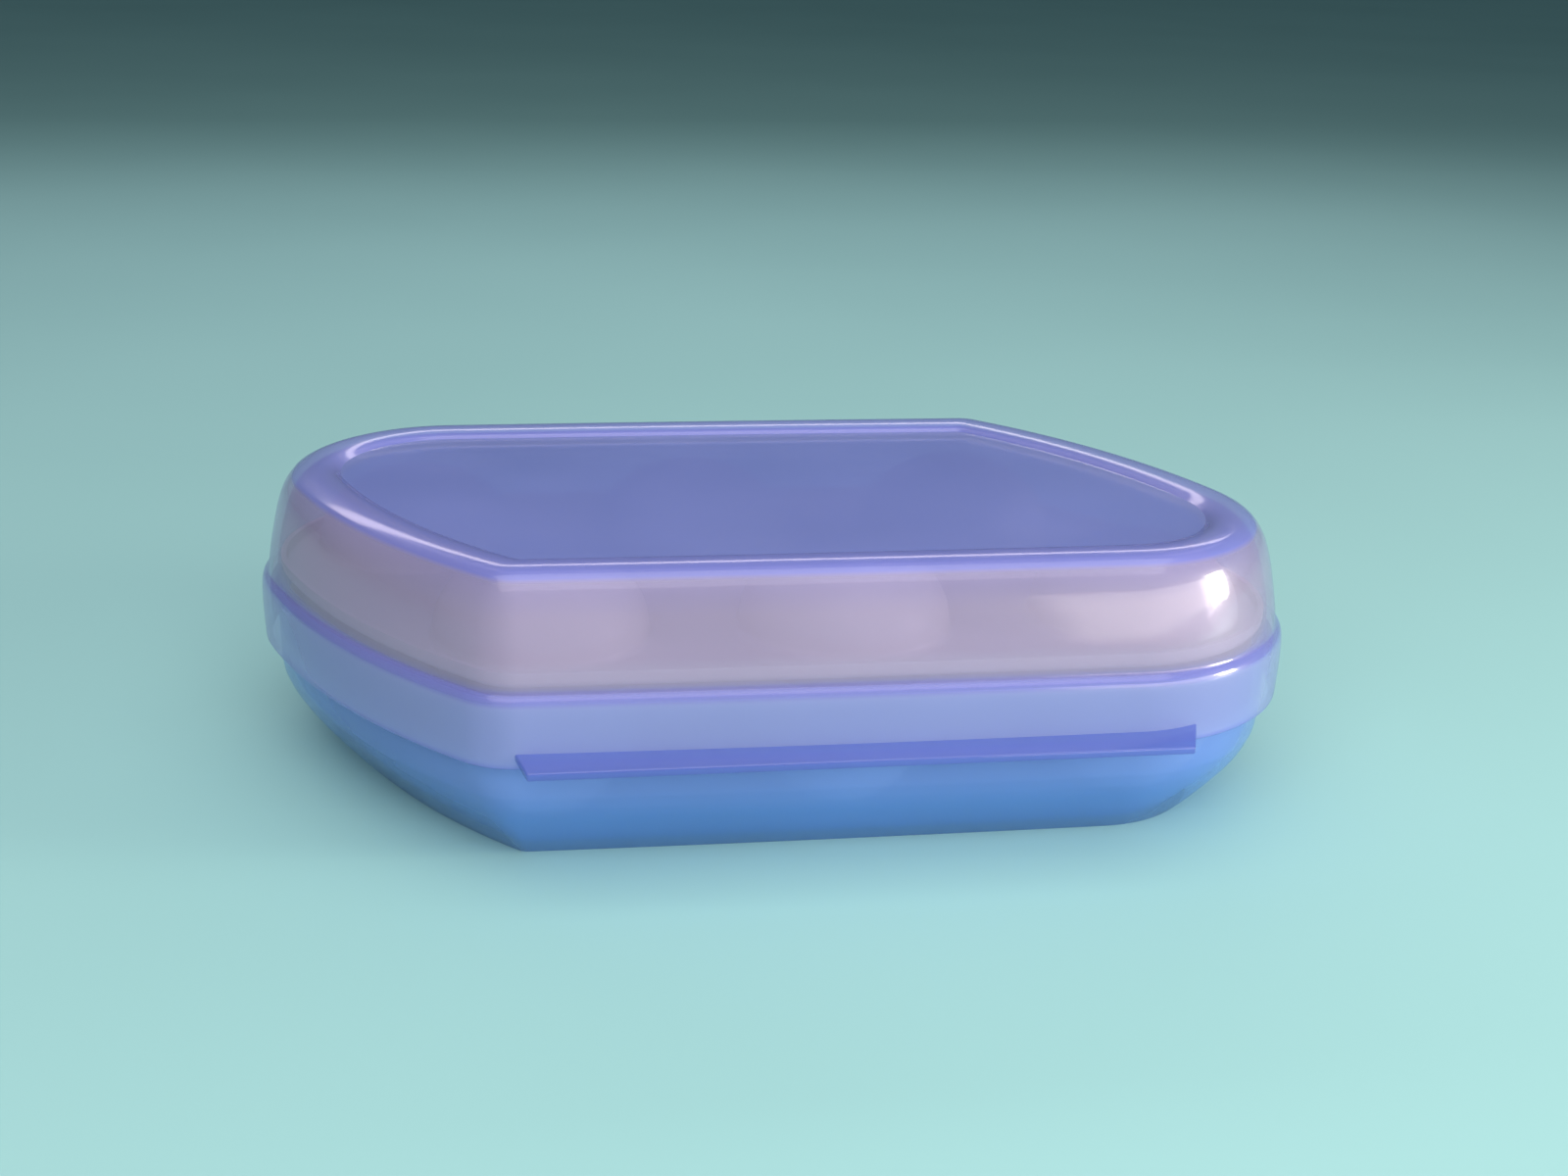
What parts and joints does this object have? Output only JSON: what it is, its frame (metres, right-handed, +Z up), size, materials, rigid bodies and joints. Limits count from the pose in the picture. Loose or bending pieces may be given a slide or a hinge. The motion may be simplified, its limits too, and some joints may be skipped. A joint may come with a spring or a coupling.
{
  "type": "egg holder tray",
  "caption": "Hinged translucent plastic egg case with a leaning rounded plan, a front finger tab, and cup trays inside that hold eggs upright in staggered rows.",
  "frame": {"origin": "on the surface the case stands on, under the middle of its bounding box", "axes": "+X along the long side with the finger tab to the front, +Y to the hinge at the back, +Z up"},
  "size_m": [0.2284, 0.1404, 0.0661],
  "materials": {
    "case": "translucent frosted violet-blue polypropylene, satin gloss",
    "trays": "natural white polypropylene, matt"
  },
  "bodies": {
    "base": {"base_shell": "case", "lower_egg_tray": "trays"},
    "lid": {"lid_shell": "case", "upper_egg_tray": "trays"}
  },
  "joints": [
    {"name": "lid_hinge", "type": "hinge", "parent": "base", "child": "lid", "pos_m": [0, 0.0668, 0.0233], "axis": [-1, 0, 0], "range_deg": [0, 110]}
  ]
}
